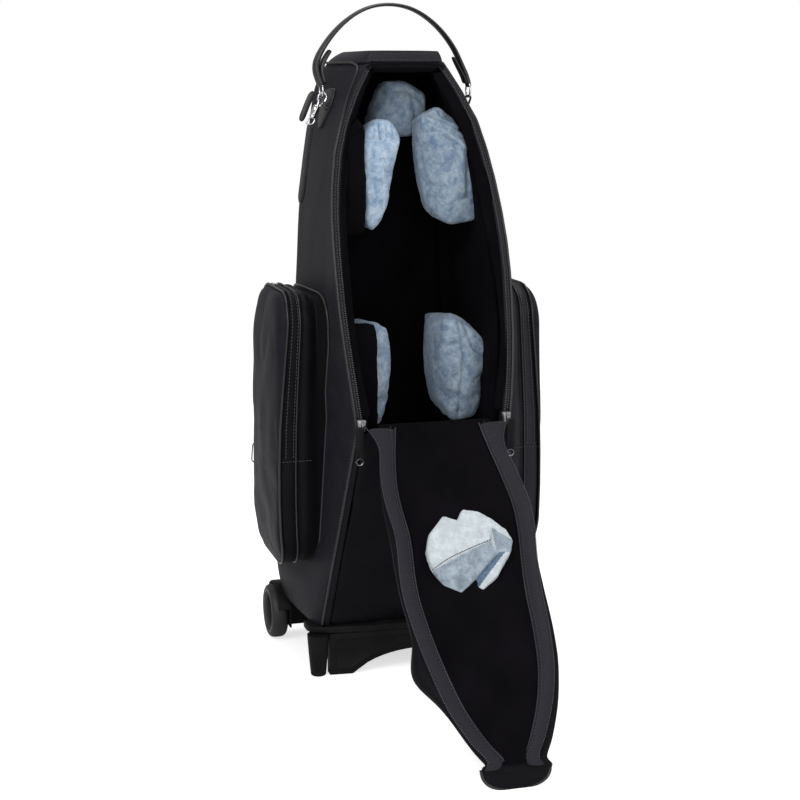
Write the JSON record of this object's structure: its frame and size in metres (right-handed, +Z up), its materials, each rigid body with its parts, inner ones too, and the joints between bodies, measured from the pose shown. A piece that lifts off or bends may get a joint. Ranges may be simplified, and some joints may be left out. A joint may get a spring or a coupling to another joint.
{
  "type": "wheeled saxophone bag",
  "caption": "Tall padded instrument bag on wheels and feet: fold-down zipped front, side pockets, arched leather carrying handle and telescopic pull handle at the back.",
  "frame": {"origin": "centre of the bounding box on the floor, with the lid folded down and its tip on the floor", "axes": "+Z up, -Y towards the folded-down lid, +Y towards the wheels and the pull handle, +X to the right as seen from the front"},
  "size_m": [0.38, 0.6566, 0.8935],
  "materials": {
    "nylon": "fine-woven dark charcoal nylon with a blue tint",
    "plush": "short black plush",
    "velvet": "crushed velvet, grey-blue",
    "leather": "black, semi-gloss, stitched",
    "plastic": "black moulded plastic",
    "chrome": "polished zinc and steel hardware",
    "aluminium": "satin anodised tube",
    "rubber": "black, matt"
  },
  "bodies": {
    "bag": {"side_panel_left": "nylon", "side_panel_right": "nylon", "side_lining_left": "plush", "side_lining_right": "plush", "back_panel": "nylon", "back_lining": "plush", "top_panel": "nylon", "front_lower_panel": "nylon", "bottom_board": "plush", "opening_zipper_tape": "plastic", "lid_hinge_cord": "nylon", "top_pad": "velvet", "bow_pad": "velvet", "neck_pad_left": "velvet", "neck_pad_right": "velvet", "bell_pad_left": "velvet", "bell_pad_right": "velvet", "main_slider_left": "chrome", "main_slider_right": "chrome", "pocket_left": "nylon", "pocket_right": "nylon", "pocket_slider_left": "chrome", "pocket_slider_right": "chrome", "handle_ring_left": "chrome", "handle_ring_right": "chrome", "handle_tab_left": "leather", "handle_tab_right": "leather", "base_frame": "plastic", "front_skirt": "plastic", "front_foot_left": "rubber", "front_foot_right": "rubber", "wheel_housing_left": "plastic", "wheel_housing_right": "plastic", "axle_left": "chrome", "axle_right": "chrome", "trolley_tube_left": "aluminium", "trolley_tube_right": "aluminium", "trolley_foot": "plastic", "trolley_bracket": "plastic"},
    "lid": {"lid_shell": "nylon", "lid_lining": "plush", "lid_saddle_pad": "velvet"},
    "carrying_handle": {"handle_strap": "leather"},
    "pull_handle": {"trolley_rod_left": "aluminium", "trolley_rod_right": "aluminium", "trolley_grip": "plastic"},
    "button": {"trolley_button": "chrome"},
    "wheel_left": {"tyre_left": "rubber", "hub_left": "plastic"},
    "wheel_right": {"tyre_right": "rubber", "hub_right": "plastic"},
    "main_pull_left_body": {"main_pull_left": "plastic"},
    "main_pull_right_body": {"main_pull_right": "plastic"},
    "pocket_flap_left": {"pocket_cover_left": "nylon"},
    "pocket_flap_right": {"pocket_cover_right": "nylon"},
    "pocket_pull_left_body": {"pocket_pull_left": "chrome"},
    "pocket_pull_right_body": {"pocket_pull_right": "chrome"},
    "key_strap": {"tag_hook": "chrome", "tag_strap": "leather"}
  },
  "joints": [
    {"name": "lid_hinge", "type": "hinge", "parent": "bag", "child": "lid", "pos_m": [0, 0.02303, 0.351], "axis": [-1, 0, 0], "range_deg": [0, 150.3]},
    {"name": "handle_swing", "type": "hinge", "parent": "bag", "child": "carrying_handle", "pos_m": [0, 0.20253, 0.778], "axis": [1, 0, 0], "range_deg": [-30, 64]},
    {"name": "pull_handle_slide", "type": "slide", "parent": "bag", "child": "pull_handle", "axis": [0, 0, 1], "range_m": [0, 0.3]},
    {"name": "button_press", "type": "slide", "parent": "pull_handle", "child": "button", "axis": [0, 0, -1], "range_m": [0, 0.004], "stiffness_N_per_m": 150},
    {"name": "wheel_spin_left", "type": "hinge", "parent": "bag", "child": "wheel_left", "pos_m": [-0.161, 0.27453, 0.0385], "axis": [1, 0, 0], "continuous": true},
    {"name": "wheel_spin_right", "type": "hinge", "parent": "bag", "child": "wheel_right", "pos_m": [0.161, 0.27453, 0.0385], "axis": [1, 0, 0], "continuous": true},
    {"name": "main_pull_left_swing", "type": "hinge", "parent": "bag", "child": "main_pull_left_body", "pos_m": [-0.10205, 0.01343, 0.3552], "axis": [-1, 0, 0], "range_deg": [0, 150]},
    {"name": "main_pull_right_swing", "type": "hinge", "parent": "bag", "child": "main_pull_right_body", "pos_m": [0.10205, 0.01343, 0.3552], "axis": [-1, 0, 0], "range_deg": [0, 150]},
    {"name": "pocket_flap_left_fold", "type": "hinge", "parent": "bag", "child": "pocket_flap_left", "pos_m": [-0.19, 0.20503, 0.285], "axis": [0, -1, 0], "range_deg": [0, 95]},
    {"name": "pocket_flap_right_fold", "type": "hinge", "parent": "bag", "child": "pocket_flap_right", "pos_m": [0.19, 0.20503, 0.285], "axis": [0, 1, 0], "range_deg": [0, 95]},
    {"name": "pocket_pull_left_swing", "type": "hinge", "parent": "bag", "child": "pocket_pull_left_body", "pos_m": [-0.184, 0.29513, 0.2814], "axis": [1, 0, 0], "range_deg": [0, 150]},
    {"name": "pocket_pull_right_swing", "type": "hinge", "parent": "bag", "child": "pocket_pull_right_body", "pos_m": [0.184, 0.29513, 0.2814], "axis": [1, 0, 0], "range_deg": [0, 150]},
    {"name": "key_strap_swing", "type": "hinge", "parent": "bag", "child": "key_strap", "pos_m": [-0.103, 0.19507, 0.77297], "axis": [1, 0, 0], "range_deg": [-15, 20]}
  ]
}
